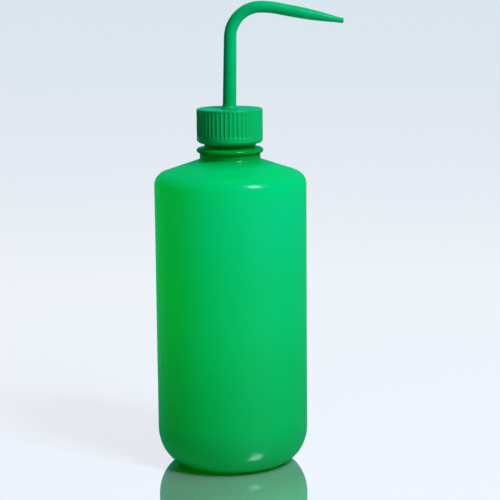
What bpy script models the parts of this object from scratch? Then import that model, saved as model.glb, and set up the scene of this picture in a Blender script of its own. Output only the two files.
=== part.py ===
"""A 500 mL squeeze wash bottle: bottle, screw cap, bent spout, sealing insert and dip tube.

Units are metres, +Z up. The origin is the middle of the base, on the surface that the
bottle stands on, and the spout points to +X. Dimensions below are in millimetres, and
an outline is a list of (radius, height) points about the bottle's vertical axis.
"""

from math import atan2, cos, hypot, pi, radians, sin, tan

import bmesh
import bpy
from mathutils import Vector

MM = 0.001
CLEARANCE = 0.3

# Bottle body
BODY_RADIUS = 36.75
WALL = 1.2
FLOOR_HEIGHT = 2.0
HEEL_WIDTH = 13.0
HEEL_HEIGHT = 17.5
PAD_RADIUS = 8.0
RECESS_RADIUS = 20.0
RECESS_DEPTH = 0.8
SHOULDER_CORNER_RADIUS = 6.5
SHOULDER_CORNER_HEIGHT = 137.0
SHOULDER_SLOPE = radians(19)

# Neck, transfer bead and lip
LOWER_NECK_RADIUS = 14.6
NECK_FOOT_FILLET = 1.2
BEAD_RADIUS = 16.1
BEAD_HEIGHT = 153.6
BEAD_EDGE = 1.1
BEAD_HALF_ROOT = 1.5
BEAD_BLEND = 0.4
THREAD_ROOT_RADIUS = 12.4
LIP_HEIGHT = 168.9
LIP_ROUNDING = 0.4
NECK_BORE_RADIUS = 10.4
NECK_BORE_BOTTOM = 156.6
LOWER_NECK_BORE_RADIUS = 13.2
LOWER_NECK_BORE_TOP = 152.6

# Screw thread: one start, right handed
PITCH = 4.233
THREAD_START_HEIGHT = 160.55
THREAD_CREST_RADIUS = 13.6
THREAD_ROOT_HALF_WIDTH = 1.1
THREAD_CREST_HALF_WIDTH = 0.45
THREAD_TURNS = 1.5
THREAD_SINK = 0.4
THREAD_RUN_OUT = radians(40)
THREAD_END_SHARE = 0.06
THREAD_SEGMENTS = 32

# Cap
CAP_BOTTOM = 157.3
CAP_TOP = 173.6
CAP_RADIUS = 15.87
CAP_RIB_DEPTH = 0.35
CAP_RIBS = 48
CAP_BAND_TOP = 160.45
CAP_RIB_TOP = 172.9
CAP_RIB_RAMP = 0.3
CAP_EDGE_ROUNDING = 0.6
CAP_FOOT_CHAMFER = 1.0
CAP_PANEL = 1.5
CAP_BORE_RADIUS = 14.2
CAP_BORE_CHAMFER = 0.5
CAP_MOUTH_CHAMFER = 0.3
CAP_HOLE_RADIUS = 3.9
CAP_THREAD_CREST_RADIUS = 12.9
CAP_THREAD_ROOT_HALF_WIDTH = 1.0
CAP_THREAD_CREST_HALF_WIDTH = 0.4
CAP_THREAD_DROP = 1.5
CAP_THREAD_START = radians(90)
CAP_THREAD_TURNS = 1.35

# Sealing insert: a disc on the lip, a plug in the bore and a boss round the spout
SEAL_RADIUS = 12.5
SEAL_DISC = 1.2
SEAL_RIM_INNER_RADIUS = 9.5
PLUG_RADIUS = NECK_BORE_RADIUS - CLEARANCE
PLUG_WALL = 1.1
PLUG_BOTTOM = 165.6
PLUG_LEAD_IN = 0.5
BOSS_RADIUS = 5.4
BOSS_BOTTOM = 162.5

# Spout
SPIGOT_RADIUS = 3.6
SPIGOT_BOTTOM = 160.0
SPIGOT_LEAD_IN = 0.4
SPOUT_FLANGE_RADIUS = 6.2
SPOUT_NECK_RADIUS = 3.5
SOCKET_RADIUS = 2.7
SOCKET_TOP = 168.7
SPOUT_BORE_RADIUS = 1.5
SPOUT_FOOT_RADIUS = 4.15
SPOUT_FOOT_HEIGHT = 1.9
SPOUT_FOOT_EDGE = 0.4
RISER_LEAN = radians(1.15)
RISER_LENGTH = 33.9
BEND_RADIUS = 14.4
DROOP_RADIUS = 42.0
ARM_HEADING = radians(101.1)
ARM_LENGTH = 32.1
TAPER_LENGTH = 18.2
TIP_LENGTH = 3.3
RISER_RADIUS = 3.27
RISER_TOP_RADIUS = 3.08
BEND_TUBE_RADIUS = 2.85
ARM_RADIUS = 2.75
TAPER_SHAPE = ((0.0, 1.0), (0.3, 0.93), (0.65, 0.75), (1.0, 0.5))
TIP_RADIUS = 1.25
TIP_ROUNDING = 0.5
ORIFICE_RADIUS = 0.6

# Dip tube
DIP_TUBE_RADIUS = 2.4
DIP_TUBE_BORE_RADIUS = 1.5
DIP_TUBE_BOTTOM = 5.0
DIP_TUBE_CUT = 3.0

BODY_SEGMENTS = 64
CAP_SEGMENTS = 2 * CAP_RIBS
SEAL_SEGMENTS = 48
SPOUT_SEGMENTS = 20
DIP_TUBE_SEGMENTS = 16
SHARP_ANGLE = radians(35)

# Heights that follow from the pieces being stacked with a clearance between them
PANEL_UNDERSIDE = CAP_TOP - CAP_PANEL
SEAL_UNDERSIDE = LIP_HEIGHT + CLEARANCE
SEAL_TOP = SEAL_UNDERSIDE + SEAL_DISC
FLANGE_UNDERSIDE = SEAL_TOP + CLEARANCE
FLANGE_TOP = PANEL_UNDERSIDE - CLEARANCE
SPOUT_FOOT = CAP_TOP + CLEARANCE

# Linear colour, roughness
FINISHES = {
    "bottle": ((0.0, 0.46, 0.09), 0.38),
    "screw_cap": ((0.0, 0.30, 0.08), 0.42),
    "spout": ((0.0, 0.38, 0.11), 0.35),
    "neck_seal": ((0.55, 0.62, 0.58), 0.45),
    "dip_tube": ((0.60, 0.66, 0.62), 0.35),
}


def remove_scene_objects():
    """Start from an empty scene."""
    for thing in list(bpy.data.objects):
        bpy.data.objects.remove(thing, do_unlink=True)


def arc(centre, radii, start, end, steps):
    """Points along an elliptical arc between two angles in degrees, both ends included."""
    points = []
    for step in range(steps + 1):
        angle = radians(start + (end - start) * step / steps)
        points.append((centre[0] + radii[0] * cos(angle), centre[1] + radii[1] * sin(angle)))
    return points


def interpolate(stations, distance):
    """Read a value from (distance, value) pairs joined by straight lines."""
    for (near, low), (far, high) in zip(stations, stations[1:]):
        if distance <= far:
            return low + (high - low) * (distance - near) / (far - near)
    return stations[-1][1]


def turned(outline, segments, closed):
    """Spin an outline about Z. A closed one makes a ring, an open one gets two flat ends."""
    mesh = bmesh.new()
    points = [mesh.verts.new((radius * MM, 0, height * MM)) for radius, height in outline]
    links = list(zip(points, points[1:]))
    if closed:
        links.append((points[-1], points[0]))
    edges = [mesh.edges.new(link) for link in links]
    bmesh.ops.spin(mesh, geom=points + edges, cent=(0, 0, 0), axis=(0, 0, 1),
                   angle=2 * pi, steps=segments, use_merge=True)
    rims = [edge for edge in mesh.edges if edge.is_boundary]
    bmesh.ops.holes_fill(mesh, edges=rims, sides=segments)
    bmesh.ops.recalc_face_normals(mesh, faces=mesh.faces)
    return mesh


def skinned(loops, closed):
    """Join loops of points one to the next. The last one meets the first, or both are capped."""
    mesh = bmesh.new()
    rings = [[mesh.verts.new(point) for point in loop] for loop in loops]
    pairs = list(zip(rings, rings[1:]))
    if closed:
        pairs.append((rings[-1], rings[0]))
    for near, far in pairs:
        for index in range(len(near)):
            following = (index + 1) % len(near)
            mesh.faces.new((near[index], near[following], far[following], far[index]))
    if not closed:
        mesh.faces.new(rings[0])
        mesh.faces.new(rings[-1])
    bmesh.ops.recalc_face_normals(mesh, faces=mesh.faces)
    return mesh


def finish_material(name):
    """Plastic with the piece's own colour."""
    colour, roughness = FINISHES[name]
    material = bpy.data.materials.new(name + "_plastic")
    material.use_nodes = True
    shader = material.node_tree.nodes["Principled BSDF"]
    shader.inputs["Base Color"].default_value = (*colour, 1.0)
    shader.inputs["Roughness"].default_value = roughness
    shader.inputs["Metallic"].default_value = 0.0
    return material


def place(name, mesh, height, parent=None, parent_height=0.0):
    """Make an object, with its origin on the axis at a height, from a mesh in world space."""
    bmesh.ops.translate(mesh, verts=mesh.verts, vec=(0, 0, -height * MM))
    data = bpy.data.meshes.new(name)
    mesh.to_mesh(data)
    mesh.free()
    data.shade_smooth()
    data.set_sharp_from_angle(angle=SHARP_ANGLE)
    piece = bpy.data.objects.new(name, data)
    bpy.context.collection.objects.link(piece)
    piece.parent = parent
    piece.location = (0, 0, (height - parent_height) * MM)
    if name in FINISHES:
        data.materials.append(finish_material(name))
    return piece


def join_to(piece, extra):
    """Weld a helper solid to a piece with a union, and keep the helper out of the model."""
    extra.hide_render = True
    extra.display_type = "WIRE"
    union = piece.modifiers.new("weld_" + extra.name, "BOOLEAN")
    union.operation = "UNION"
    union.solver = "EXACT"
    union.object = extra


def thread_ridge(root, crest, half_widths, first_angle, turns, drop):
    """A helical ridge that rises one pitch a turn and sinks into its wall at both ends."""
    steps = round(turns * THREAD_SEGMENTS)
    step_angle = 2 * pi / THREAD_SEGMENTS
    root_half, crest_half = half_widths
    loops = []
    for step in range(steps + 1):
        angle = first_angle + step * step_angle
        height = THREAD_START_HEIGHT - drop + PITCH * angle / (2 * pi)
        from_end = min(step, steps - step) * step_angle
        rise = min(1.0, THREAD_END_SHARE + from_end / THREAD_RUN_OUT)
        tip = root + (crest - root) * rise
        section = (
            (root, height - root_half),
            (tip, height - crest_half),
            (tip, height + crest_half),
            (root, height + root_half),
        )
        loops.append([Vector((r * cos(angle), r * sin(angle), z)) * MM for r, z in section])
    return skinned(loops, closed=False)


def shoulder_line_height(radius):
    """Height of the sloping shoulder at a radius."""
    corner_radius = BODY_RADIUS - SHOULDER_CORNER_RADIUS * (1 - sin(SHOULDER_SLOPE))
    corner_height = SHOULDER_CORNER_HEIGHT + SHOULDER_CORNER_RADIUS * cos(SHOULDER_SLOPE)
    return corner_height + (corner_radius - radius) * tan(SHOULDER_SLOPE)


def bottle_outside():
    """Outer side of the bottle, from the base pad up to the lip."""
    slope = SHOULDER_SLOPE * 180 / pi
    heel_centre = (BODY_RADIUS - HEEL_WIDTH, HEEL_HEIGHT)
    corner_centre = (BODY_RADIUS - SHOULDER_CORNER_RADIUS, SHOULDER_CORNER_HEIGHT)
    fillet_touch = LOWER_NECK_RADIUS + NECK_FOOT_FILLET * (1 - sin(SHOULDER_SLOPE))
    fillet_centre = (
        LOWER_NECK_RADIUS + NECK_FOOT_FILLET,
        shoulder_line_height(fillet_touch) + NECK_FOOT_FILLET * cos(SHOULDER_SLOPE),
    )
    edge_centre = (BEAD_RADIUS - BEAD_EDGE, BEAD_HEIGHT)
    outline = [
        (PAD_RADIUS, 0.0),
        (PAD_RADIUS + RECESS_DEPTH, RECESS_DEPTH),
        (RECESS_RADIUS - RECESS_DEPTH, RECESS_DEPTH),
        (RECESS_RADIUS, 0.0),
    ]
    outline += arc(heel_centre, (HEEL_WIDTH, HEEL_HEIGHT), -90, 0, 8)
    outline += arc(corner_centre, (SHOULDER_CORNER_RADIUS,) * 2, 0, 90 - slope, 4)
    outline += arc(fillet_centre, (NECK_FOOT_FILLET,) * 2, 270 - slope, 180, 3)
    outline += [(LOWER_NECK_RADIUS, BEAD_HEIGHT - BEAD_HALF_ROOT)]
    outline += arc(edge_centre, (BEAD_EDGE,) * 2, -60, 75, 3)
    outline += [
        (THREAD_ROOT_RADIUS + BEAD_BLEND, BEAD_HEIGHT + BEAD_HALF_ROOT),
        (THREAD_ROOT_RADIUS, BEAD_HEIGHT + BEAD_HALF_ROOT + BEAD_BLEND),
        (THREAD_ROOT_RADIUS, LIP_HEIGHT - LIP_ROUNDING),
        (THREAD_ROOT_RADIUS - LIP_ROUNDING, LIP_HEIGHT),
    ]
    return outline


def bottle_inside():
    """Inner side of the bottle, from the lip down to the floor."""
    slope = SHOULDER_SLOPE * 180 / pi
    corner = SHOULDER_CORNER_RADIUS - WALL
    heel_centre = (BODY_RADIUS - HEEL_WIDTH, HEEL_HEIGHT)
    corner_centre = (BODY_RADIUS - SHOULDER_CORNER_RADIUS, SHOULDER_CORNER_HEIGHT)
    shoulder_drop = WALL / cos(SHOULDER_SLOPE)
    outline = [
        (NECK_BORE_RADIUS + LIP_ROUNDING, LIP_HEIGHT),
        (NECK_BORE_RADIUS, LIP_HEIGHT - LIP_ROUNDING),
        (NECK_BORE_RADIUS, NECK_BORE_BOTTOM),
        (LOWER_NECK_BORE_RADIUS, LOWER_NECK_BORE_TOP),
        (LOWER_NECK_BORE_RADIUS, shoulder_line_height(LOWER_NECK_BORE_RADIUS) - shoulder_drop),
    ]
    outline += arc(corner_centre, (corner, corner), 90 - slope, 0, 3)
    outline += arc(heel_centre, (HEEL_WIDTH - WALL, HEEL_HEIGHT - FLOOR_HEIGHT), 0, -90, 5)
    return outline


def make_bottle():
    """The blow-moulded bottle with its outside thread."""
    mesh = turned(bottle_outside() + bottle_inside(), BODY_SEGMENTS, closed=False)
    bottle = place("bottle", mesh, 0.0)
    ridge = thread_ridge(
        THREAD_ROOT_RADIUS - THREAD_SINK, THREAD_CREST_RADIUS,
        (THREAD_ROOT_HALF_WIDTH, THREAD_CREST_HALF_WIDTH), 0.0, THREAD_TURNS, 0.0,
    )
    join_to(bottle, place("bottle_thread_guide", ridge, 0.0))


def press_flutes(mesh):
    """Pull every second upright line of the cap's side inwards, which leaves the ribs."""
    spacing = 2 * pi / CAP_SEGMENTS
    margin = CAP_RIB_RAMP / 2
    for vertex in mesh.verts:
        radius = hypot(vertex.co.x, vertex.co.y) / MM
        height = vertex.co.z / MM
        line = round(atan2(vertex.co.y, vertex.co.x) / spacing)
        in_ribs = CAP_BAND_TOP + margin < height < CAP_RIB_TOP - margin
        if line % 2 and in_ribs and radius > CAP_RADIUS - CAP_RIB_DEPTH:
            shrink = (CAP_RADIUS - CAP_RIB_DEPTH) / radius
            vertex.co.x *= shrink
            vertex.co.y *= shrink


def make_cap(closure):
    """The ribbed screw cap with its inside thread and the hole for the spout."""
    edge_centre = (CAP_RADIUS - CAP_EDGE_ROUNDING, CAP_TOP - CAP_EDGE_ROUNDING)
    outline = [
        (CAP_RADIUS - CAP_FOOT_CHAMFER, CAP_BOTTOM),
        (CAP_RADIUS, CAP_BOTTOM + CAP_FOOT_CHAMFER),
        (CAP_RADIUS, CAP_BAND_TOP),
        (CAP_RADIUS, CAP_BAND_TOP + CAP_RIB_RAMP),
        (CAP_RADIUS, CAP_RIB_TOP - CAP_RIB_RAMP),
        (CAP_RADIUS, CAP_RIB_TOP),
    ]
    outline += arc(edge_centre, (CAP_EDGE_ROUNDING,) * 2, 0, 90, 3)
    outline += [
        (CAP_HOLE_RADIUS, CAP_TOP),
        (CAP_HOLE_RADIUS, PANEL_UNDERSIDE),
        (CAP_BORE_RADIUS - CAP_BORE_CHAMFER, PANEL_UNDERSIDE),
        (CAP_BORE_RADIUS, PANEL_UNDERSIDE - CAP_BORE_CHAMFER),
        (CAP_BORE_RADIUS, CAP_BOTTOM + CAP_MOUTH_CHAMFER),
        (CAP_BORE_RADIUS + CAP_MOUTH_CHAMFER, CAP_BOTTOM),
    ]
    mesh = turned(outline, CAP_SEGMENTS, closed=True)
    press_flutes(mesh)
    cap = place("screw_cap", mesh, CAP_BOTTOM, closure, LIP_HEIGHT)
    ridge = thread_ridge(
        CAP_BORE_RADIUS + THREAD_SINK, CAP_THREAD_CREST_RADIUS,
        (CAP_THREAD_ROOT_HALF_WIDTH, CAP_THREAD_CREST_HALF_WIDTH),
        CAP_THREAD_START, CAP_THREAD_TURNS, CAP_THREAD_DROP,
    )
    join_to(cap, place("cap_thread_guide", ridge, CAP_BOTTOM, closure, LIP_HEIGHT))


def make_seal(closure):
    """The insert that seals on the lip and holds the spout."""
    hole = SPIGOT_RADIUS + CLEARANCE
    rim_top = PANEL_UNDERSIDE - CLEARANCE
    outline = [
        (hole, BOSS_BOTTOM),
        (BOSS_RADIUS, BOSS_BOTTOM),
        (BOSS_RADIUS, SEAL_UNDERSIDE),
        (PLUG_RADIUS - PLUG_WALL, SEAL_UNDERSIDE),
        (PLUG_RADIUS - PLUG_WALL, PLUG_BOTTOM),
        (PLUG_RADIUS - PLUG_LEAD_IN, PLUG_BOTTOM),
        (PLUG_RADIUS, PLUG_BOTTOM + 2 * PLUG_LEAD_IN),
        (PLUG_RADIUS, SEAL_UNDERSIDE),
        (SEAL_RADIUS, SEAL_UNDERSIDE),
        (SEAL_RADIUS, rim_top),
        (SEAL_RIM_INNER_RADIUS, rim_top),
        (SEAL_RIM_INNER_RADIUS, SEAL_TOP),
        (hole, SEAL_TOP),
    ]
    mesh = turned(outline, SEAL_SEGMENTS, closed=True)
    place("neck_seal", mesh, LIP_HEIGHT, closure, LIP_HEIGHT)


def spout_path():
    """Centreline above the cap as (distance, x, z, heading), where heading 0 points up."""
    runs = (
        (RISER_LEAN, RISER_LEAN, RISER_LENGTH, 4),
        (RISER_LEAN, pi / 2, BEND_RADIUS * (pi / 2 - RISER_LEAN), 10),
        (pi / 2, ARM_HEADING, DROOP_RADIUS * (ARM_HEADING - pi / 2), 3),
        (ARM_HEADING, ARM_HEADING, ARM_LENGTH, 12),
    )
    distance, x, z = 0.0, 0.0, CAP_TOP
    path = [(distance, x, z, RISER_LEAN)]
    for heading, last_heading, length, steps in runs:
        for step in range(steps):
            turn = (last_heading - heading) / steps
            chord_heading = heading + turn * (step + 0.5)
            x += length / steps * sin(chord_heading)
            z += length / steps * cos(chord_heading)
            distance += length / steps
            path.append((distance, x, z, heading + turn * (step + 1)))
    return path


def spout_outer_radius(length):
    """Outer radius at distances along the path. The taper's shape is in shares of its size."""
    taper_start = length - TIP_LENGTH - TAPER_LENGTH
    bend_middle = RISER_LENGTH + BEND_RADIUS * pi / 4
    stations = [
        (0.0, RISER_RADIUS),
        (RISER_LENGTH * 0.8, RISER_TOP_RADIUS),
        (bend_middle, BEND_TUBE_RADIUS),
    ]
    for along, share in TAPER_SHAPE:
        stations.append((taper_start + along * TAPER_LENGTH, share * ARM_RADIUS))
    stations.append((length - TIP_ROUNDING, TIP_RADIUS))
    stations.append((length, TIP_RADIUS - TIP_ROUNDING))
    return stations


def make_spout(closure):
    """The bent, tapered nozzle, hollow from its socket to its tip."""
    path = spout_path()
    length = path[-1][0]
    outer = spout_outer_radius(length)
    bore = [
        (0.0, SPOUT_BORE_RADIUS),
        (length - TIP_LENGTH - TAPER_LENGTH, SPOUT_BORE_RADIUS),
        (length - TIP_LENGTH, ORIFICE_RADIUS),
        (length, ORIFICE_RADIUS),
    ]
    flare = SPOUT_FOOT_RADIUS - RISER_RADIUS
    foot = [
        (SPIGOT_RADIUS - SPIGOT_LEAD_IN, SPIGOT_BOTTOM),
        (SPIGOT_RADIUS, SPIGOT_BOTTOM + SPIGOT_LEAD_IN),
        (SPIGOT_RADIUS, FLANGE_UNDERSIDE),
        (SPOUT_FLANGE_RADIUS, FLANGE_UNDERSIDE),
        (SPOUT_FLANGE_RADIUS, FLANGE_TOP),
        (SPOUT_NECK_RADIUS, FLANGE_TOP),
        (SPOUT_NECK_RADIUS, SPOUT_FOOT),
        (SPOUT_FOOT_RADIUS, SPOUT_FOOT),
        (SPOUT_FOOT_RADIUS, SPOUT_FOOT + SPOUT_FOOT_EDGE),
    ]
    foot += arc(
        (RISER_RADIUS + flare, SPOUT_FOOT + SPOUT_FOOT_HEIGHT),
        (flare, SPOUT_FOOT_HEIGHT - SPOUT_FOOT_EDGE), 250, 180, 2,
    )
    socket = [
        (SPOUT_BORE_RADIUS, SOCKET_TOP),
        (SOCKET_RADIUS, SOCKET_TOP),
        (SOCKET_RADIUS, SPIGOT_BOTTOM),
    ]
    upper = [station for station in path if station[0] > SPOUT_FOOT_HEIGHT + CLEARANCE]
    stations = [(0.0, height, 0.0, radius) for radius, height in foot]
    stations += [(x, z, heading, interpolate(outer, s)) for s, x, z, heading in upper]
    stations += [(x, z, heading, interpolate(bore, s)) for s, x, z, heading in reversed(upper)]
    stations += [(0.0, height, 0.0, radius) for radius, height in socket]
    loops = []
    for x, z, heading, radius in stations:
        across = Vector((cos(heading), 0, -sin(heading)))
        loop = []
        for index in range(SPOUT_SEGMENTS):
            angle = 2 * pi * index / SPOUT_SEGMENTS
            offset = across * cos(angle) + Vector((0, 1, 0)) * sin(angle)
            loop.append((Vector((x, 0, z)) + offset * radius) * MM)
        loops.append(loop)
    return place("spout", skinned(loops, closed=True), CAP_TOP, closure, LIP_HEIGHT)


def make_dip_tube(spout):
    """The straight draw tube, pushed up into the spout's socket and cut at a slant below."""
    top = SOCKET_TOP - CLEARANCE
    outline = [
        (DIP_TUBE_BORE_RADIUS, DIP_TUBE_BOTTOM),
        (DIP_TUBE_RADIUS, DIP_TUBE_BOTTOM),
        (DIP_TUBE_RADIUS, top),
        (DIP_TUBE_BORE_RADIUS, top),
    ]
    mesh = turned(outline, DIP_TUBE_SEGMENTS, closed=True)
    slant = DIP_TUBE_CUT / (2 * DIP_TUBE_RADIUS)
    for vertex in mesh.verts:
        if vertex.co.z < top * MM / 2:
            vertex.co.z += (vertex.co.x + DIP_TUBE_RADIUS * MM) * slant
    place("dip_tube", mesh, SOCKET_TOP, spout, CAP_TOP)


def main():
    remove_scene_objects()
    closure = bpy.data.objects.new("closure_axis", None)
    closure.location = (0, 0, LIP_HEIGHT * MM)
    bpy.context.collection.objects.link(closure)
    make_bottle()
    make_cap(closure)
    make_seal(closure)
    spout = make_spout(closure)
    make_dip_tube(spout)


main()
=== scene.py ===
"""Looks of a 500 mL squeeze wash bottle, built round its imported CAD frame.

Every piece is made here in the row frame: metres, +Z up, origin in the middle of the base,
spout towards +X. Dimensions below are in millimetres unless a comment says otherwise, and
an outline is a list of (radius, height) points about the bottle's vertical axis.
"""

from math import cos, pi, radians, sin, tan

import bpy
import numpy as np
from mathutils import Matrix, Vector


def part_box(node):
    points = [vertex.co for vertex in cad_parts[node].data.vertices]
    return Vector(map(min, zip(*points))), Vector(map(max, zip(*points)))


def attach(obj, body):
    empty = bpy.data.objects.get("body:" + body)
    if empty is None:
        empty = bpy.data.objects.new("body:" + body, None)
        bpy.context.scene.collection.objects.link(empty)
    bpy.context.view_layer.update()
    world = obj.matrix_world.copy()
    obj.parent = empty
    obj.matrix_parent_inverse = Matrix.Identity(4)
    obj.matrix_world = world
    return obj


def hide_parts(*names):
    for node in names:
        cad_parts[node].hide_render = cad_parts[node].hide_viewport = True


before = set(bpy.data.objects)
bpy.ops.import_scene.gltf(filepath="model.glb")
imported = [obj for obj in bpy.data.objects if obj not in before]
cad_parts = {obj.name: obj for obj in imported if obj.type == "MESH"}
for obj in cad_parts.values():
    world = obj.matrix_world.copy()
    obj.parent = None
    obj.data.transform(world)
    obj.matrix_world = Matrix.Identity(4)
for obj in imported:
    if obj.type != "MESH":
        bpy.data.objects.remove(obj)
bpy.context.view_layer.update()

MM = 0.001


def cad_size(node):
    """Widest radius, lowest height and highest height of a CAD node, in millimetres."""
    low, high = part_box(node)
    return high.y / MM, low.z / MM, high.z / MM


# Sizes read from the CAD frame
BODY_RADIUS, _, LIP_HEIGHT = cad_size("bottle")
CAP_RADIUS, CAP_BOTTOM, CAP_TOP = cad_size("screw_cap")
SEAL_RADIUS, BOSS_BOTTOM, SEAL_RIM_TOP = cad_size("neck_seal")
DIP_TUBE_RADIUS, DIP_TUBE_BOTTOM, DIP_TUBE_TOP = cad_size("dip_tube")
SPIGOT_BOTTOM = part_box("spout")[0].z / MM

# Gap between pieces that move on each other or plug together, where nothing else is said
CLEARANCE = 0.3

# Bottle body
WALL = 1.2
FLOOR_HEIGHT = 2.0
HEEL_WIDTH = 13.0
HEEL_HEIGHT = 17.5
PAD_RADIUS = 8.0
RECESS_RADIUS = 20.0
RECESS_DEPTH = 0.8
SHOULDER_CORNER_RADIUS = 6.5
SHOULDER_CORNER_HEIGHT = 137.0
SHOULDER_SLOPE_DEGREES = 19.0
WALL_WANDER = 0.10
WANDER_START = 12.0
WANDER_FADE = 25.0
PARTING_ANGLE = radians(-8)
PARTING_HEIGHT = 0.07
PARTING_WIDTH = 0.35
PINCH_HEIGHT = 0.35
PINCH_WIDTH = 0.9
BASE_ROUNDING = 0.6

# Shares from 0 to 1 against height, with painted light and shade in both: how much light the wall
# passes, lower towards the base as painted shade for light fading downward and lowest at the neck,
# partly for its thicker wall and partly as painted shade under the cap and bead; and how blue its
# resin is, bluer towards the shoulder as painted light where the key falls and none at the neck as
# painted shade
PAINTED_SHADE_PASSES = ((0, 0.3), (12, 0.55), (25, 0.76), (80, 0.97), (135, 1.0), (146, 1.0), (150, 0.22))
PAINTED_LIGHT_BLUES = ((0, 0.22), (25, 0.32), (45, 0.4), (83, 0.6), (128, 0.9), (146, 0.72), (151, 0.0))

# Neck, transfer bead and lip
LOWER_NECK_RADIUS = 14.6
NECK_FOOT_FILLET = 1.2
BEAD_RADIUS = 16.1
BEAD_HEIGHT = 153.6
BEAD_EDGE = 1.1
BEAD_HALF_ROOT = 1.5
BEAD_ROOT_ROUNDING = 0.3
THREAD_ROOT_RADIUS = 12.4
LIP_ROUNDING = 0.4
NECK_BORE_RADIUS = 10.4
NECK_BORE_BOTTOM = 156.6
LOWER_NECK_BORE_RADIUS = 13.2
LOWER_NECK_BORE_TOP = 152.6
NECK_BORE_ROUNDING = 0.8

# Screw thread: one start, right handed
PITCH = 4.233
THREAD_START_HEIGHT = 160.55
THREAD_CREST_RADIUS = 13.6
THREAD_HALF_WIDTHS = (0.95, 0.45)
THREAD_TURNS = 1.5
THREAD_RUN_OUT = radians(40)
CAP_THREAD_CREST_RADIUS = 12.9
CAP_THREAD_HALF_WIDTHS = (0.9, 0.4)
CAP_THREAD_DROP = 1.5
CAP_THREAD_START = radians(90)
CAP_THREAD_TURNS = 1.35

# Cap
CAP_RIBS = 48
CAP_RIB_DEPTH = 0.35
CAP_RIB_SHARE = 0.55
CAP_BAND_TOP = 160.45
CAP_RIB_TOP = 172.9
CAP_RIB_RAMP = 0.5
CAP_EDGE_ROUNDING = 0.6
CAP_FOOT_CHAMFER = 1.0
CAP_PANEL = 1.5
CAP_BORE_RADIUS = 14.2
CAP_HOLE_RADIUS = 3.9
CAP_LEAD_IN_WIDTH = 0.3
CAP_LEAD_IN_HEIGHT = 0.4
CAP_OUTER_ROUNDING = 0.35
CAP_INNER_ROUNDING = 0.3

# Sealing insert
SEAL_DISC = 1.2
SEAL_UNDERSIDE = LIP_HEIGHT + CLEARANCE
SEAL_TOP = SEAL_UNDERSIDE + SEAL_DISC
SEAL_RIM_INNER_RADIUS = 9.5
SEAL_ROUNDING = 0.25
PLUG_RADIUS = NECK_BORE_RADIUS - CLEARANCE
PLUG_WALL = 1.1
PLUG_BOTTOM = 165.6
PLUG_LEAD_IN = 0.5
BOSS_RADIUS = 5.4

# Spout
SPIGOT_RADIUS = 3.6
SPOUT_FLANGE_RADIUS = 6.2
FLANGE_UNDERSIDE = SEAL_TOP + CLEARANCE
FLANGE_TOP = CAP_TOP - CAP_PANEL - CLEARANCE
SPOUT_NECK_RADIUS = 3.5
SPOUT_FOOT_GAP = 0.05
SPOUT_FOOT = CAP_TOP + SPOUT_FOOT_GAP
SPOUT_FOOT_RADIUS = 4.15
SPOUT_FOOT_HEIGHT = 2.2
SPOUT_FOOT_EDGE = 0.3
SPOUT_FOOT_ROUNDING = 0.2
RISER_START_GAP = 0.2
SOCKET_RADIUS = 2.7
SOCKET_TOP = 168.7
SOCKET_LEAD_IN = 0.3
SPOUT_BORE_RADIUS = 1.5
RISER_LEAN = radians(1.15)
RISER_LENGTH = 33.9
BEND_RADIUS = 14.4
DROOP_RADIUS = 42.0
ARM_HEADING = radians(101.1)
ARM_LENGTH = 32.1
TAPER_LENGTH = 18.2
TIP_LENGTH = 3.3
RISER_RADIUS = 3.27
RISER_TOP_RADIUS = 3.08
BEND_TUBE_RADIUS = 2.85
ARM_RADIUS = 2.75
TAPER_SHAPE = ((0.0, 1.0), (0.3, 0.93), (0.65, 0.75), (1.0, 0.5))
TIP_RADIUS = 1.25
TIP_ROUNDING = 0.5
ORIFICE_RADIUS = 0.6

# Dip tube
DIP_TUBE_BORE_RADIUS = 1.5
DIP_TUBE_CUT = 3.0
DIP_TUBE_CUT_FADE = 10.0
DIP_TUBE_ROUNDING = 0.12

# Fineness of the surfaces: columns round a piece, longest steps along an outline, how near a
# radius a point lies on it, and the angle from which an edge stays sharp
BODY_COLUMNS = 192
CAP_COLUMNS_PER_RIB = 8
SMALL_COLUMNS = 96
SPOUT_COLUMNS = 48
BODY_STEP = 2.5
BASE_STEP = 1.2
NECK_STEP = 0.2
CAP_STEP = 0.45
SEAL_STEP = 1.0
DIP_TUBE_STEP = 6.0
SPOUT_STEP = 0.6
SPOUT_FOOT_STEP = 1.0
SOCKET_STEP = 2.0
ON_SURFACE = 0.01
SHARP_ANGLE = radians(50)

# Plastics
POLYETHYLENE_IOR = 1.51
POLYPROPYLENE_IOR = 1.49
GREEN_SPECULAR = (0.35, 1.0, 0.85, 1.0)
GREEN_SCATTER = (0.05, 1.0, 0.3)
WORN_POINTINESS = (0.52, 0.62)

# Surroundings: what the camera sees, what shows in gloss, and what lights the plastics
BACKDROP_LOW = (0.69, 0.79, 0.87)
BACKDROP_HIGH = (0.98, 1.0, 1.05)
BACKDROP_RISE = 0.19
GLOSS_IN_FRONT = (0.015, 0.15, 0.16)
GLOSS_BEHIND = (0.05, 0.68, 0.70)
FILL_COLOUR = (0.9, 1.0, 0.15, 1.0)
FILL_BEHIND = 0.13
FILL_OVERHEAD = 0.20

# Camera, key light and floor: in metres, apart from the lens and sensor in millimetres, the
# roll in radians and the power in watts
CAMERA_PLACE = Vector((0.0, -0.8, 0.244))
CAMERA_AIM = Vector((0.0092, 0.0, 0.1046))
CAMERA_ROLL = -0.009
CAMERA_LENS = 120.3
CAMERA_SENSOR = 36.0
KEY_DIRECTION = Vector((0.49, -0.49, 0.72))
KEY_DISTANCE = 1.4
KEY_SIZE = (0.34, 0.48)
KEY_POWER = 22.6
KEY_COLOUR = (0.72, 0.96, 1.12)
FLOOR_DROP = 0.0002
FLOOR_SIDE = 30.0


def arc(centre, radii, start, end, steps):
    """Points along an elliptical arc between two angles in degrees, both ends included."""
    angles = np.radians(np.linspace(start, end, steps + 1))
    return [(centre[0] + radii[0] * cos(a), centre[1] + radii[1] * sin(a)) for a in angles]


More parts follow.
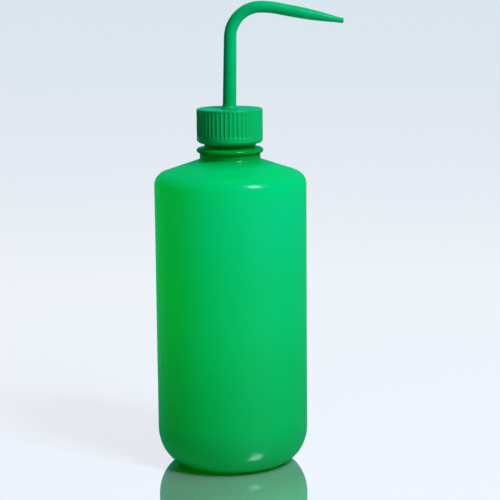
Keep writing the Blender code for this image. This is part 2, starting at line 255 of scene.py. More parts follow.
def rounded(outline, size, closed=True, steps=4):
    """Round every corner of an outline over a distance, or less where its sides are short."""
    points = [Vector(point) for point in outline]
    count = len(points)
    result = []
    for index, corner in enumerate(points):
        if not closed and index in (0, count - 1):
            result.append(tuple(corner))
            continue
        before = points[index - 1] - corner
        after = points[(index + 1) % count] - corner
        reach = min(size, 0.45 * before.length, 0.45 * after.length)
        first = corner + before.normalized() * reach
        last = corner + after.normalized() * reach
        for step in range(steps + 1):
            t = step / steps
            bend = first * (1 - t) ** 2 + corner * (2 * t * (1 - t)) + last * t**2
            result.append(tuple(bend))
    return result


def refined(outline, longest, closed=False):
    """Split the sides of an outline that are longer than a length."""
    points = [np.array(point, float) for point in outline]
    ends = points[1:] + points[:1] if closed else points[1:]
    result = []
    for start, end in zip(points, ends):
        length = np.linalg.norm(end - start)
        pieces = int(np.ceil(length / longest)) if length > 1e-4 else 0
        result += [start + (end - start) * step / pieces for step in range(pieces)]
    if not closed:
        result.append(points[-1])
    return np.array(result)


def even_angles(count):
    """Angles all the way round, in radians."""
    return np.arange(count) * 2 * pi / count


def smooth_step(value):
    """0 below 0, 1 above 1, and an S-shaped rise between them."""
    clipped = np.clip(value, 0, 1)
    return clipped * clipped * (3 - 2 * clipped)


def add_piece(name, points, faces):
    """A smooth-shaded object from points in millimetres."""
    data = bpy.data.meshes.new(name)
    data.from_pydata((points * MM).tolist(), [], faces)
    data.shade_smooth()
    data.set_sharp_from_angle(angle=SHARP_ANGLE)
    piece = bpy.data.objects.new(name, data)
    bpy.context.collection.objects.link(piece)
    return piece


def grid_faces(rows, columns, ring):
    """Quads over rows that close on themselves. The last row joins the first in a ring."""
    row = np.arange(rows if ring else rows - 1)[:, None] * columns
    above = (row + columns) % (rows * columns)
    column = np.arange(columns)[None, :]
    following = (column + 1) % columns
    quads = np.stack([row + column, row + following, above + following, above + column], -1)
    return quads.reshape(-1, 4).tolist()


def lathe(name, outline, angles, radial=None, upright=None):
    """Turn an outline about Z. The offsets are added to radius and height at each angle.

    An outline that starts and ends on the axis makes a closed body, any other one a ring.
    """
    poles = outline[0][0] < 1e-6 and outline[-1][0] < 1e-6
    rows = outline[1:-1] if poles else outline
    radius, angle = np.meshgrid(rows[:, 0], angles, indexing="ij")
    height = np.repeat(rows[:, 1:2], len(angles), axis=1)
    across = radial(angle, radius, height) if radial else 0.0
    up = upright(angle, radius, height) if upright else 0.0
    radius, height = radius + across, height + up
    points = np.stack([radius * np.cos(angle), radius * np.sin(angle), height], -1)
    points = points.reshape(-1, 3)
    faces = grid_faces(len(rows), len(angles), ring=not poles)
    if poles:
        bottom, top = len(points), len(points) + 1
        points = np.vstack([points, [[0, 0, outline[0][1]], [0, 0, outline[-1][1]]]])
        last_row = (len(rows) - 1) * len(angles)
        columns = range(len(angles))
        after = [(column + 1) % len(angles) for column in columns]
        faces += [(bottom, after[column], column) for column in columns]
        faces += [(top, last_row + column, last_row + after[column]) for column in columns]
    return add_piece(name, points, faces)


def thread_rise(angle, height, half_widths, first_angle, turns, drop):
    """Share of a thread's depth, from 0 at its root to 1 at its crest."""
    root_half, crest_half = half_widths
    total = turns * 2 * pi
    rise = np.zeros_like(angle)
    for lap in range(int(turns) + 2):
        along = np.mod(angle - first_angle, 2 * pi) + lap * 2 * pi
        middle = THREAD_START_HEIGHT - drop + PITCH * (along + first_angle) / (2 * pi)
        away = np.abs(height - middle)
        side = smooth_step((root_half - away) / (root_half - crest_half))
        ends = smooth_step(np.minimum(along, total - along) / THREAD_RUN_OUT)
        rise = np.maximum(rise, side * ends)
    return rise


def shoulder_line_height(radius):
    """Height of the sloping shoulder at a radius."""
    slope = radians(SHOULDER_SLOPE_DEGREES)
    corner_radius = BODY_RADIUS - SHOULDER_CORNER_RADIUS * (1 - sin(slope))
    corner_height = SHOULDER_CORNER_HEIGHT + SHOULDER_CORNER_RADIUS * cos(slope)
    return corner_height + (corner_radius - radius) * tan(slope)


def base_outline():
    """Underside of the bottle, from its middle out to where the heel starts."""
    corners = [
        (0.0, 0.0),
        (PAD_RADIUS, 0.0),
        (PAD_RADIUS + RECESS_DEPTH, RECESS_DEPTH),
        (RECESS_RADIUS - RECESS_DEPTH, RECESS_DEPTH),
        (RECESS_RADIUS, 0.0),
        (BODY_RADIUS - HEEL_WIDTH, 0.0),
    ]
    return refined(rounded(corners, BASE_ROUNDING, closed=False), BASE_STEP)


def body_outline():
    """Outer side of the bottle, from the heel up to the neck's transfer bead."""
    slope = SHOULDER_SLOPE_DEGREES
    heel_centre = (BODY_RADIUS - HEEL_WIDTH, HEEL_HEIGHT)
    corner_centre = (BODY_RADIUS - SHOULDER_CORNER_RADIUS, SHOULDER_CORNER_HEIGHT)
    fillet_touch = LOWER_NECK_RADIUS + NECK_FOOT_FILLET * (1 - sin(radians(slope)))
    fillet_centre = (
        LOWER_NECK_RADIUS + NECK_FOOT_FILLET,
        shoulder_line_height(fillet_touch) + NECK_FOOT_FILLET * cos(radians(slope)),
    )
    outline = arc(heel_centre, (HEEL_WIDTH, HEEL_HEIGHT), -89, 0, 28)
    outline += arc(corner_centre, (SHOULDER_CORNER_RADIUS,) * 2, 0, 90 - slope, 14)
    outline += arc(fillet_centre, (NECK_FOOT_FILLET,) * 2, 270 - slope, 180, 8)
    bead_root = (LOWER_NECK_RADIUS, BEAD_HEIGHT - BEAD_HALF_ROOT)
    bead = arc((BEAD_RADIUS - BEAD_EDGE, BEAD_HEIGHT), (BEAD_EDGE,) * 2, -60, 75, 10)
    root = rounded([outline[-1], bead_root, bead[0]], BEAD_ROOT_ROUNDING, closed=False)
    return refined(outline + root[1:-1] + bead, BODY_STEP)


def threaded_neck_outline():
    """Outer side of the neck above the bead, over the lip and just into the bore."""
    corners = [
        (BEAD_RADIUS - BEAD_EDGE, BEAD_HEIGHT + BEAD_EDGE + 0.1),
        (THREAD_ROOT_RADIUS, BEAD_HEIGHT + BEAD_HALF_ROOT),
        (THREAD_ROOT_RADIUS, LIP_HEIGHT),
        (NECK_BORE_RADIUS, LIP_HEIGHT),
        (NECK_BORE_RADIUS, LIP_HEIGHT - 2 * LIP_ROUNDING),
    ]
    return refined(rounded(corners, LIP_ROUNDING, closed=False), NECK_STEP)


def bottle_inside():
    """Inner side of the bottle, from the bore down to the middle of the floor."""
    slope = SHOULDER_SLOPE_DEGREES
    corner = SHOULDER_CORNER_RADIUS - WALL
    heel_centre = (BODY_RADIUS - HEEL_WIDTH, HEEL_HEIGHT)
    corner_centre = (BODY_RADIUS - SHOULDER_CORNER_RADIUS, SHOULDER_CORNER_HEIGHT)
    shoulder_drop = WALL / cos(radians(slope))
    body = arc(corner_centre, (corner, corner), 90 - slope, 0, 8)
    body += arc(heel_centre, (HEEL_WIDTH - WALL, HEEL_HEIGHT - FLOOR_HEIGHT), 0, -90, 14)
    neck = [
        (NECK_BORE_RADIUS, LIP_HEIGHT - 4 * LIP_ROUNDING),
        (NECK_BORE_RADIUS, NECK_BORE_BOTTOM),
        (LOWER_NECK_BORE_RADIUS, LOWER_NECK_BORE_TOP),
        (LOWER_NECK_BORE_RADIUS, shoulder_line_height(LOWER_NECK_BORE_RADIUS) - shoulder_drop),
        body[0],
    ]
    bore = rounded(neck, NECK_BORE_ROUNDING, closed=False)
    return refined(bore[:-1] + body + [(0.0, FLOOR_HEIGHT)], BODY_STEP)


def bottle_angles():
    """Even columns, with close ones at the two parting lines."""
    close = np.radians([-0.8, -0.5, -0.3, -0.12, 0.12, 0.3, 0.5, 0.8])
    lines = np.concatenate([PARTING_ANGLE + close, PARTING_ANGLE + pi + close])
    angles = np.concatenate([even_angles(BODY_COLUMNS), np.mod(lines, 2 * pi)])
    return np.unique(np.round(angles, 6))


def from_parting(angle):
    """Smallest angle to a parting line."""
    return np.abs(np.mod(angle - PARTING_ANGLE + pi / 2, pi) - pi / 2)


def bottle_radial(angle, radius, height):
    """Thread, parting lines and the slight wander of a blown wall."""
    threaded = np.abs(radius - THREAD_ROOT_RADIUS) < ON_SURFACE
    rise = thread_rise(angle, height, THREAD_HALF_WIDTHS, 0.0, THREAD_TURNS, 0.0)
    thread = threaded * rise * (THREAD_CREST_RADIUS - THREAD_ROOT_RADIUS)
    fade_in = smooth_step((height - WANDER_START) / WANDER_FADE)
    fade_out = smooth_step((SHOULDER_CORNER_HEIGHT - height) / WANDER_FADE)
    wave = np.sin(2 * angle + height / 31) + 0.6 * np.sin(5 * angle - height / 19 + 1.7)
    wander = (wave / 1.6 - 1) / 2 * WALL_WANDER * fade_in * fade_out
    outer = (radius > BODY_RADIUS - WALL / 2) | (height > shoulder_line_height(radius) - WALL / 2)
    outer &= (height > HEEL_HEIGHT / 2) & (height < BEAD_HEIGHT) & (radius < BODY_RADIUS + 1)
    ridge = smooth_step(1 - from_parting(angle) * radius / PARTING_WIDTH)
    return thread + wander + outer * ridge * PARTING_HEIGHT


def bottle_upright(angle, radius, height):
    """Pinch-off weld across the recess under the base."""
    recess = (height > 0.5 * RECESS_DEPTH) & (height < 1.5 * RECESS_DEPTH)
    across = np.sin(from_parting(angle)) * radius
    return recess * smooth_step(1 - across / PINCH_WIDTH) * -PINCH_HEIGHT


def make_bottle_shell():
    """The blow-moulded bottle: one closed shell, with its inner side in a second material."""
    outside = np.vstack([base_outline(), body_outline(), threaded_neck_outline()])
    outline = np.vstack([outside, bottle_inside()])
    angles = bottle_angles()
    shell = lathe("bottle_shell", outline, angles, bottle_radial, bottle_upright)
    columns = len(angles)
    sides = np.ones(len(shell.data.polygons), int)
    sides[: (len(outside) - 1) * columns] = 0
    sides[-2 * columns : -columns] = 0
    shell.data.polygons.foreach_set("material_index", sides)
    return shell


def cap_outline():
    """Section of the cap, from its foot up the outside, and down the bore."""
    underside = CAP_TOP - CAP_PANEL
    outside = [
        (CAP_BORE_RADIUS + CAP_LEAD_IN_WIDTH, CAP_BOTTOM),
        (CAP_RADIUS - CAP_FOOT_CHAMFER, CAP_BOTTOM),
        (CAP_RADIUS, CAP_BOTTOM + CAP_FOOT_CHAMFER),
        (CAP_RADIUS, CAP_TOP - CAP_EDGE_ROUNDING),
    ]
    edge_centre = (CAP_RADIUS - CAP_EDGE_ROUNDING, CAP_TOP - CAP_EDGE_ROUNDING)
    edge = arc(edge_centre, (CAP_EDGE_ROUNDING,) * 2, 8, 90, 6)
    inside = [
        edge[-1],
        (CAP_HOLE_RADIUS, CAP_TOP),
        (CAP_HOLE_RADIUS, underside),
        (CAP_BORE_RADIUS, underside),
        (CAP_BORE_RADIUS, CAP_BOTTOM + CAP_LEAD_IN_HEIGHT),
        (CAP_BORE_RADIUS + CAP_LEAD_IN_WIDTH, CAP_BOTTOM),
    ]
    lower = refined(rounded(outside, CAP_OUTER_ROUNDING, closed=False), CAP_STEP)
    upper = refined(rounded(inside, CAP_INNER_ROUNDING, closed=False), CAP_STEP)
    return np.vstack([lower, edge[:-1], upper[:-1]])


def cap_radial(angle, radius, height):
    """Ribs outside and thread inside."""
    lower = smooth_step((height - CAP_BAND_TOP) / CAP_RIB_RAMP)
    upper = smooth_step((CAP_RIB_TOP - height) / CAP_RIB_RAMP)
    phase = np.mod(angle * CAP_RIBS / (2 * pi) + 0.5, 1.0) - 0.5
    crest = smooth_step(1 - np.abs(phase) * 2 / CAP_RIB_SHARE)
    outside = radius > CAP_BORE_RADIUS + 1
    flutes = outside * lower * upper * (1 - crest) * -CAP_RIB_DEPTH
    rise = thread_rise(angle, height, CAP_THREAD_HALF_WIDTHS, CAP_THREAD_START,
                       CAP_THREAD_TURNS, CAP_THREAD_DROP)
    threaded = np.abs(radius - CAP_BORE_RADIUS) < ON_SURFACE
    return flutes - threaded * rise * (CAP_BORE_RADIUS - CAP_THREAD_CREST_RADIUS)


def make_cap_shell():
    """The ribbed screw cap."""
    angles = even_angles(CAP_RIBS * CAP_COLUMNS_PER_RIB)
    return lathe("cap_shell", cap_outline(), angles, cap_radial)


def make_seal_insert():
    """The insert that seals on the lip and holds the spout."""
    hole = SPIGOT_RADIUS + CLEARANCE
    outline = [
        (hole, BOSS_BOTTOM),
        (BOSS_RADIUS, BOSS_BOTTOM),
        (BOSS_RADIUS, SEAL_UNDERSIDE),
        (PLUG_RADIUS - PLUG_WALL, SEAL_UNDERSIDE),
        (PLUG_RADIUS - PLUG_WALL, PLUG_BOTTOM),
        (PLUG_RADIUS - PLUG_LEAD_IN, PLUG_BOTTOM),
        (PLUG_RADIUS, PLUG_BOTTOM + 2 * PLUG_LEAD_IN),
        (PLUG_RADIUS, SEAL_UNDERSIDE),
        (SEAL_RADIUS, SEAL_UNDERSIDE),
        (SEAL_RADIUS, SEAL_RIM_TOP),
        (SEAL_RIM_INNER_RADIUS, SEAL_RIM_TOP),
        (SEAL_RIM_INNER_RADIUS, SEAL_TOP),
        (hole, SEAL_TOP),
    ]
    section = refined(rounded(outline, SEAL_ROUNDING), SEAL_STEP, closed=True)
    return lathe("seal_insert", section, even_angles(SMALL_COLUMNS))


def make_draw_tube():
    """The dip tube, cut at a slant at its lower end."""
    outline = [
        (DIP_TUBE_BORE_RADIUS, DIP_TUBE_BOTTOM),
        (DIP_TUBE_RADIUS, DIP_TUBE_BOTTOM),
        (DIP_TUBE_RADIUS, DIP_TUBE_TOP),
        (DIP_TUBE_BORE_RADIUS, DIP_TUBE_TOP),
    ]
    section = refined(rounded(outline, DIP_TUBE_ROUNDING), DIP_TUBE_STEP, closed=True)

    def slant(angle, radius, height):
        near_cut = smooth_step(1 - (height - DIP_TUBE_BOTTOM - 1) / DIP_TUBE_CUT_FADE)
        from_side = radius * np.cos(angle) + DIP_TUBE_RADIUS
        return near_cut * from_side * DIP_TUBE_CUT / (2 * DIP_TUBE_RADIUS)

    return lathe("draw_tube", section, even_angles(SPOUT_COLUMNS), upright=slant)


def spout_path():
    """Centreline above the cap as rows of distance, x, z and heading, where 0 points up."""
    runs = (
        (RISER_LEAN, RISER_LEAN, RISER_LENGTH),
        (RISER_LEAN, pi / 2, BEND_RADIUS * (pi / 2 - RISER_LEAN)),
        (pi / 2, ARM_HEADING, DROOP_RADIUS * (ARM_HEADING - pi / 2)),
        (ARM_HEADING, ARM_HEADING, ARM_LENGTH),
    )
    distance, x, z = 0.0, 0.0, CAP_TOP
    path = [(distance, x, z, RISER_LEAN)]
    for heading, last_heading, length in runs:
        steps = int(np.ceil(length / SPOUT_STEP))
        for step in range(steps):
            turn = (last_heading - heading) / steps
            chord_heading = heading + turn * (step + 0.5)
            x += length / steps * sin(chord_heading)
            z += length / steps * cos(chord_heading)
            distance += length / steps
            path.append((distance, x, z, heading + turn * (step + 1)))
    return np.array(path)


def softened(stations, distance, reach):
    """Read a value from (distance, value) pairs, with the corners between them smoothed."""
    along, values = zip(*stations)
    window = np.linspace(-reach, reach, 9)
    return np.mean([np.interp(distance + shift, along, values) for shift in window], axis=0)


def spout_outer_radius(distance, length):
    """Outer radius along the path. The taper's shape is in shares of its size."""
    taper_start = length - TIP_LENGTH - TAPER_LENGTH
    stations = [
        (0.0, RISER_RADIUS),
        (RISER_LENGTH * 0.8, RISER_TOP_RADIUS),
        (RISER_LENGTH + BEND_RADIUS * pi / 4, BEND_TUBE_RADIUS),
    ]
    for along, share in TAPER_SHAPE:
        stations.append((taper_start + along * TAPER_LENGTH, share * ARM_RADIUS))
    stations.append((length, TIP_RADIUS))
    radius = softened(stations, distance, 1.2)
    into_rounding = np.clip((distance - length + TIP_ROUNDING) / TIP_ROUNDING, 0, 1)
    return radius - TIP_ROUNDING * (1 - np.sqrt(1 - into_rounding**2))


def spout_foot_outline():
    """Spigot, flange and flared foot, from the bottom up to the riser."""
    corners = [
        (SOCKET_RADIUS, SPIGOT_BOTTOM),
        (SPIGOT_RADIUS, SPIGOT_BOTTOM),
        (SPIGOT_RADIUS, FLANGE_UNDERSIDE),
        (SPOUT_FLANGE_RADIUS, FLANGE_UNDERSIDE),
        (SPOUT_FLANGE_RADIUS, FLANGE_TOP),
        (SPOUT_NECK_RADIUS, FLANGE_TOP),
        (SPOUT_NECK_RADIUS, SPOUT_FOOT),
        (SPOUT_FOOT_RADIUS, SPOUT_FOOT),
        (SPOUT_FOOT_RADIUS, SPOUT_FOOT + SPOUT_FOOT_EDGE),
    ]
    flare = SPOUT_FOOT_RADIUS - RISER_RADIUS
    sweep = arc((SPOUT_FOOT_RADIUS, SPOUT_FOOT + SPOUT_FOOT_HEIGHT),
                (flare, SPOUT_FOOT_HEIGHT - SPOUT_FOOT_EDGE), 262, 185, 8)
    foot = refined(rounded(corners, SPOUT_FOOT_ROUNDING, closed=False), SPOUT_FOOT_STEP)
    return np.vstack([foot[:-1], sweep])


def spout_stations():
    """Loops of the nozzle as (x, z, heading, radius), up the outside and down the bore."""
    path = spout_path()
    length = path[-1][0]
    upper = path[path[:, 0] > SPOUT_FOOT_HEIGHT + RISER_START_GAP]
    tip = upper[-1]
    rounding = []
    for share in (0.25, 0.5, 0.7, 0.85, 0.95):
        back = TIP_ROUNDING * (1 - share)
        rounding.append((length - back, tip[1] - back * sin(tip[3]),
                         tip[2] - back * cos(tip[3]), tip[3]))
    outer = np.vstack([upper[upper[:, 0] < length - TIP_ROUNDING], rounding, upper[-1:]])
    bore_taper = ((0, SPOUT_BORE_RADIUS), (length - TIP_LENGTH - TAPER_LENGTH, SPOUT_BORE_RADIUS),
                  (length - TIP_LENGTH, ORIFICE_RADIUS), (length, ORIFICE_RADIUS))
    inner = upper[::-2]
    foot = spout_foot_outline()
    socket = refined([(SPOUT_BORE_RADIUS, SOCKET_TOP), (SOCKET_RADIUS, SOCKET_TOP),
                      (SOCKET_RADIUS, SPIGOT_BOTTOM + SOCKET_LEAD_IN)], SOCKET_STEP)
    stations = [(0.0, height, 0.0, radius) for radius, height in foot]
    stations += zip(outer[:, 1], outer[:, 2], outer[:, 3], spout_outer_radius(outer[:, 0], length))
    stations += zip(inner[:, 1], inner[:, 2], inner[:, 3], softened(bore_taper, inner[:, 0], 0.5))
    stations += [(0.0, height, 0.0, radius) for radius, height in socket]
    return stations


def make_spout_nozzle():
    """The bent, tapered nozzle, hollow from its socket to its tip."""
    angles = even_angles(SPOUT_COLUMNS)
    stations = spout_stations()
    loops = []
    for x, z, heading, radius in stations:
        across = radius * np.cos(angles)
        loops.append(np.stack([
            x + across * cos(heading), radius * np.sin(angles), z - across * sin(heading),
        ], -1))
    faces = grid_faces(len(stations), SPOUT_COLUMNS, ring=True)
    return add_piece("spout_nozzle", np.vstack(loops), faces)


def start_material(name):
    """A new node material with its tree and its main shader."""
    material = bpy.data.materials.new(name)
    material.use_nodes = True
    tree = material.node_tree
    return material, tree, tree.nodes["Principled BSDF"]


def noise(tree, scale, detail=3.0, stretch=(1.0, 1.0, 1.0)):
    """Noise fixed to the piece. A scale of 1000 makes specks about 1 mm across."""
    place = tree.nodes.new("ShaderNodeTexCoord")
    mapping = tree.nodes.new("ShaderNodeMapping")
    mapping.inputs["Scale"].default_value = stretch
    texture = tree.nodes.new("ShaderNodeTexNoise")
    texture.inputs["Scale"].default_value = scale
    texture.inputs["Detail"].default_value = detail
    tree.links.new(place.outputs["Object"], mapping.inputs["Vector"])
    tree.links.new(mapping.outputs["Vector"], texture.inputs["Vector"])
    return texture.outputs["Fac"]


def ranged(tree, value, low, high, start, end):
    """Spread a value's range low to high over start to end."""
    node = tree.nodes.new("ShaderNodeMapRange")
    node.inputs["From Min"].default_value = low
    node.inputs["From Max"].default_value = high
    node.inputs["To Min"].default_value = start
    node.inputs["To Max"].default_value = end
    tree.links.new(value, node.inputs["Value"])
    return node.outputs["Result"]


def mottled(tree, scale, detail, low, high):
    """A value that drifts between two limits in soft clouds."""
    return ranged(tree, noise(tree, scale, detail), 0.3, 0.7, low, high)


def blended(tree, share, first, second):
    """Mix two colours, each a socket or three numbers, by a share."""
    node = tree.nodes.new("ShaderNodeMix")
    node.data_type = "RGBA"
    tree.links.new(share, node.inputs["Factor"])
    for label, colour in (("A", first), ("B", second)):
        socket = [s for s in node.inputs if s.name == label and s.type == "RGBA"][0]
        if isinstance(colour, tuple):
            socket.default_value = (*colour, 1.0)
        else:
            tree.links.new(colour, socket)
    return [s for s in node.outputs if s.type == "RGBA"][0]


def computed(tree, operation, first, second):
    """ADD or MULTIPLY two values."""
    node = tree.nodes.new("ShaderNodeMath")
    node.operation = operation
    tree.links.new(first, node.inputs[0])
    tree.links.new(second, node.inputs[1])
    return node.outputs["Value"]


def add_bump(tree, shader, layers):
    """Stack bumps, each a (height, distance in metres), and feed them to the shader."""
    normal = None
    for height, distance in layers:
        node = tree.nodes.new("ShaderNodeBump")
        node.inputs["Strength"].default_value = 1.0
        node.inputs["Distance"].default_value = distance
        tree.links.new(height, node.inputs["Height"])
        if normal is not None:
            tree.links.new(normal, node.inputs["Normal"])
        normal = node.outputs["Normal"]
    tree.links.new(normal, shader.inputs["Normal"])


def by_height(tree, stations):
    """Read a value from (height in millimetres, value) pairs along the bottle."""
    place = tree.nodes.new("ShaderNodeTexCoord")
    parts = tree.nodes.new("ShaderNodeSeparateXYZ")
    tree.links.new(place.outputs["Object"], parts.inputs["Vector"])
    along = ranged(tree, parts.outputs["Z"], 0.0, LIP_HEIGHT * MM, 0.0, 1.0)
    ramp = tree.nodes.new("ShaderNodeValToRGB")
    ramp.color_ramp.interpolation = "EASE"
    stops = ramp.color_ramp.elements
    while len(stops) < len(stations):
        stops.new(0.5)
    for stop, (height, _) in zip(stops, stations):
        stop.position = height / LIP_HEIGHT
    for stop, (_, value) in zip(stops, stations):
        stop.color = (value, value, value, 1.0)
    tree.links.new(along, ramp.inputs["Fac"])
    return ramp.outputs["Color"]


def let_through(material, tree, shader, kind, share):
    """Mix a share of a shader that passes light on into the main one. Returns its colour."""
    passing = tree.nodes.new(kind)
    choice = tree.nodes.new("ShaderNodeMixShader")
    choice.inputs["Fac"].default_value = share
    tree.links.new(shader.outputs["BSDF"], choice.inputs[1])
    tree.links.new(passing.outputs["BSDF"], choice.inputs[2])
    output = tree.nodes["Material Output"]
    tree.links.new(choice.outputs["Shader"], output.inputs["Surface"])
    return passing.inputs["Color"]


def bottle_inner_side():
    """Inner side of the wall, which hands the light on to the outer side."""
    material, tree, shader = start_material("bottle_inner_side_looks")
    clouds = mottled(tree, 40, 3.0, 0.0, 1.0)
    tree.links.new(blended(tree, clouds, (0.0, 0.50, 0.10), (0.0, 0.56, 0.12)),
                   shader.inputs["Base Color"])
    shader.inputs["Roughness"].default_value = 0.5
    passing = let_through(material, tree, shader, "ShaderNodeBsdfTransparent", 0.9)
    passing.default_value = (1.0, 1.0, 1.0, 1.0)
    return material


def bottle_plastic():
    """Translucent green low-density polyethylene, waxy, with faint scuffs."""
    material, tree, shader = start_material("bottle_plastic_looks")
    clouds = mottled(tree, 28, 4.0, 0.0, 0.12)
    streaks = ranged(tree, noise(tree, 160, 2.0, (1.0, 1.0, 0.08)), 0.35, 0.65, 0.0, 0.10)
    # Painted light and shade: the green turns bluer towards the shoulder, where the key falls, and
    # loses its blue at the neck as painted shade under the cap and bead.
    resin = blended(tree, by_height(tree, PAINTED_LIGHT_BLUES), (0.0, 0.74, 0.05), (0.0, 0.74, 0.58))
    cloudy = blended(tree, clouds, resin, (0.0, 0.86, 0.40))
    colour = blended(tree, streaks, cloudy, (0.0, 0.58, 0.22))
    tree.links.new(colour, shader.inputs["Base Color"])
    scuffs = ranged(tree, noise(tree, 420, 5.0, (1.0, 1.0, 0.25)), 0.58, 0.72, 0.0, 0.10)
    sheen = mottled(tree, 55, 3.0, 0.18, 0.25)
    tree.links.new(computed(tree, "ADD", sheen, scuffs), shader.inputs["Roughness"])
    peel = noise(tree, 700, 2.0)
    ripples = noise(tree, 90, 1.0, (1.0, 1.0, 0.3))
    add_bump(tree, shader, [(ripples, 0.00008), (peel, 0.000012)])
    passing = let_through(material, tree, shader, "ShaderNodeBsdfTranslucent", 0.65)
    # Painted shade: the light let through falls towards the base and at the neck by height. This
    # stands in for light fading downward and for the shade under the cap and bead, and the neck's
    # thicker wall is part of it.
    passes_with_painted_shade = by_height(tree, PAINTED_SHADE_PASSES)
    tree.links.new(blended(tree, passes_with_painted_shade, (0.0, 0.05, 0.0), (0.0, 1.0, 0.02)), passing)
    shader.inputs["IOR"].default_value = POLYETHYLENE_IOR
    shader.inputs["Specular IOR Level"].default_value = 0.08
    shader.inputs["Specular Tint"].default_value = GREEN_SPECULAR
    shader.inputs["Coat Weight"].default_value = 0.6
    shader.inputs["Coat Roughness"].default_value = 0.17
    shader.inputs["Coat IOR"].default_value = 1.5
    return material


def cap_plastic():
    """Solid green polypropylene, satin, a little paler and rougher where it is handled."""
    material, tree, shader = start_material("cap_plastic_looks")
    clouds = mottled(tree, 90, 4.0, 0.0, 1.0)
    resin = blended(tree, clouds, (0.0, 0.38, 0.085), (0.0, 0.43, 0.105))
    shape = tree.nodes.new("ShaderNodeNewGeometry")
    edges = ranged(tree, shape.outputs["Pointiness"], *WORN_POINTINESS, 0.0, 0.5)
    colour = blended(tree, edges, resin, (0.01, 0.50, 0.18))
    tree.links.new(colour, shader.inputs["Base Color"])
    satin = mottled(tree, 130, 4.0, 0.36, 0.46)
    handled = ranged(tree, shape.outputs["Pointiness"], *WORN_POINTINESS, 0.0, 0.08)
    tree.links.new(computed(tree, "ADD", satin, handled), shader.inputs["Roughness"])
    add_bump(tree, shader, [(noise(tree, 1500, 3.0), 0.00001)])
    shader.inputs["Subsurface Weight"].default_value = 0.08
    shader.inputs["Subsurface Radius"].default_value = GREEN_SCATTER
    shader.inputs["Subsurface Scale"].default_value = 0.001
    shader.inputs["IOR"].default_value = POLYPROPYLENE_IOR
    shader.inputs["Specular IOR Level"].default_value = 0.32
    shader.inputs["Specular Tint"].default_value = GREEN_SPECULAR
    return material


def spout_plastic():
    """Green low-density polyethylene, satin and faintly uneven."""
    material, tree, shader = start_material("spout_plastic_looks")
    clouds = mottled(tree, 120, 4.0, 0.0, 1.0)
    colour = blended(tree, clouds, (0.0, 0.40, 0.12), (0.0, 0.45, 0.14))
    tree.links.new(colour, shader.inputs["Base Color"])
    tree.links.new(mottled(tree, 200, 4.0, 0.30, 0.40), shader.inputs["Roughness"])
    add_bump(tree, shader, [(noise(tree, 260, 2.0), 0.00004), (noise(tree, 1600, 2.0), 0.000008)])
    shader.inputs["Subsurface Weight"].default_value = 0.25
    shader.inputs["Subsurface Radius"].default_value = GREEN_SCATTER
    shader.inputs["Subsurface Scale"].default_value = 0.0015
    shader.inputs["IOR"].default_value = POLYETHYLENE_IOR
    shader.inputs["Specular IOR Level"].default_value = 0.14
    shader.inputs["Specular Tint"].default_value = GREEN_SPECULAR
    return material


def natural_plastic(name, tint, roughness):
    """Milky undyed polyethylene."""
    material, tree, shader = start_material(name)
    clouds = mottled(tree, 150, 4.0, 0.0, 1.0)
    paler = tuple(min(1.0, part * 1.12) for part in tint)
    tree.links.new(blended(tree, clouds, tint, paler), shader.inputs["Base Color"])
    satin = mottled(tree, 220, 4.0, roughness - 0.05, roughness + 0.05)
    tree.links.new(satin, shader.inputs["Roughness"])
    add_bump(tree, shader, [(noise(tree, 1300, 2.0), 0.000008)])
    shader.inputs["Subsurface Weight"].default_value = 0.6
    shader.inputs["Subsurface Radius"].default_value = (1.0, 1.0, 1.0)
    shader.inputs["Subsurface Scale"].default_value = 0.002
    shader.inputs["IOR"].default_value = POLYETHYLENE_IOR
    return material


def floor_material():
    """Pale, smooth, glossy board."""
    material, tree, shader = start_material("floor_board")
    clouds = mottled(tree, 2.0, 3.0, 0.0, 1.0)
    colour = blended(tree, clouds, (0.90, 0.90, 0.945), (0.92, 0.92, 0.965))
    tree.links.new(colour, shader.inputs["Base Color"])
    shader.inputs["Metallic"].default_value = 0.80
    tree.links.new(mottled(tree, 30, 3.0, 0.0, 0.001), shader.inputs["Roughness"])
    return material


def dress(piece, material, body, node):
    """Give a piece its material and body, and let it stand for its CAD node."""
    piece.data.materials.append(material)
    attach(piece, body)
    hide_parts(node)


def make_floor():
    """A large pale floor under the bottle."""
    half = FLOOR_SIDE / 2
    data = bpy.data.meshes.new("floor")
    corners = [(-half, -half), (half, -half), (half, half), (-half, half)]
    data.from_pydata([(x, y, -FLOOR_DROP) for x, y in corners], [], [(0, 1, 2, 3)])
    floor = bpy.data.objects.new("floor", data)
    bpy.context.collection.objects.link(floor)
    data.materials.append(floor_material())


def world_background(tree, colour):
    """A background shader of one colour, given as a socket."""
    background = tree.nodes.new("ShaderNodeBackground")
    tree.links.new(colour, background.inputs["Color"])
    return background


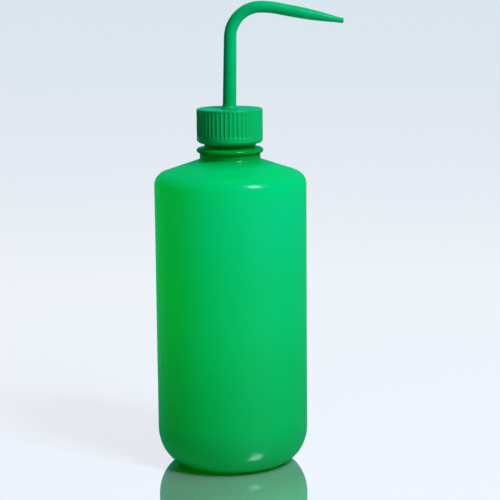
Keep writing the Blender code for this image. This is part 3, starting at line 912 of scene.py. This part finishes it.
def make_world():
    """Pale surroundings, which show dimmer and greener in the plastics' gloss and shading."""
    world = bpy.data.worlds.new("studio")
    bpy.context.scene.world = world
    world.use_nodes = True
    world.cycles.sampling_method = "NONE"
    tree = world.node_tree
    tree.nodes.clear()
    output = tree.nodes.new("ShaderNodeOutputWorld")
    direction = tree.nodes.new("ShaderNodeTexCoord")
    parts = tree.nodes.new("ShaderNodeSeparateXYZ")
    tree.links.new(direction.outputs["Generated"], parts.inputs["Vector"])
    path = tree.nodes.new("ShaderNodeLightPath")

    height = ranged(tree, parts.outputs["Z"], 0.0, BACKDROP_RISE, 0.0, 1.0)
    shown = blended(tree, height, BACKDROP_LOW, BACKDROP_HIGH)
    ahead = ranged(tree, parts.outputs["Y"], -0.3, 0.7, 0.0, 1.0)
    glossed = blended(tree, ahead, GLOSS_IN_FRONT, GLOSS_BEHIND)
    near_camera = ranged(tree, path.outputs["Ray Depth"], 2.0, 3.0, 1.0, 0.0)
    off_floor = computed(tree, "MULTIPLY", path.outputs["Is Singular Ray"], near_camera)
    in_view = computed(tree, "ADD", path.outputs["Is Camera Ray"], off_floor)
    seen = world_background(tree, blended(tree, in_view, glossed, shown))

    behind = ranged(tree, parts.outputs["Y"], 0.0, 0.9, 0.0, FILL_BEHIND)
    overhead = ranged(tree, parts.outputs["Z"], 0.4, 1.0, 0.0, FILL_OVERHEAD)
    lighting = tree.nodes.new("ShaderNodeBackground")
    lighting.inputs["Color"].default_value = FILL_COLOUR
    tree.links.new(computed(tree, "ADD", behind, overhead), lighting.inputs["Strength"])

    choice = tree.nodes.new("ShaderNodeMixShader")
    shading = ranged(tree, path.outputs["Diffuse Depth"], 0.0, 1.0, 0.0, 1.0)
    tree.links.new(shading, choice.inputs["Fac"])
    tree.links.new(seen.outputs["Background"], choice.inputs[1])
    tree.links.new(lighting.outputs["Background"], choice.inputs[2])
    tree.links.new(choice.outputs["Shader"], output.inputs["Surface"])


def make_key_light():
    """The softbox, to the right of the camera and high up."""
    data = bpy.data.lights.new("key_softbox", "AREA")
    data.shape = "RECTANGLE"
    data.size, data.size_y = KEY_SIZE
    data.energy = KEY_POWER
    data.color = KEY_COLOUR
    light = bpy.data.objects.new("key_softbox", data)
    shoulder = Vector((0, 0, SHOULDER_CORNER_HEIGHT * MM))
    light.location = shoulder + KEY_DIRECTION.normalized() * KEY_DISTANCE
    light.rotation_euler = (shoulder - light.location).to_track_quat("-Z", "Y").to_euler()
    bpy.context.collection.objects.link(light)


def make_camera():
    """The camera, a little higher than the spout and looking down on the bottle."""
    data = bpy.data.cameras.new("camera")
    data.lens = CAMERA_LENS
    data.sensor_width = CAMERA_SENSOR
    data.clip_start = 0.01
    camera = bpy.data.objects.new("camera", data)
    facing = (CAMERA_AIM - CAMERA_PLACE).to_track_quat("-Z", "Y").to_matrix().to_4x4()
    roll = Matrix.Rotation(CAMERA_ROLL, 4, "Z")
    camera.matrix_world = Matrix.Translation(CAMERA_PLACE) @ facing @ roll
    bpy.context.collection.objects.link(camera)
    bpy.context.scene.camera = camera


def main():
    """Make and dress the five pieces, then the floor, the lights and the camera."""
    milky_tube = natural_plastic("tube_plastic_looks", (0.58, 0.66, 0.62), 0.35)
    milky_seal = natural_plastic("seal_plastic_looks", (0.52, 0.62, 0.57), 0.42)
    shell = make_bottle_shell()
    dress(shell, bottle_plastic(), "bottle", "bottle")
    shell.data.materials.append(bottle_inner_side())
    dress(make_cap_shell(), cap_plastic(), "cap", "screw_cap")
    dress(make_spout_nozzle(), spout_plastic(), "spout", "spout")
    dress(make_seal_insert(), milky_seal, "seal", "neck_seal")
    dress(make_draw_tube(), milky_tube, "spout", "dip_tube")
    make_floor()
    make_world()
    make_key_light()
    make_camera()
    bpy.context.scene.view_settings.view_transform = "Standard"


main()
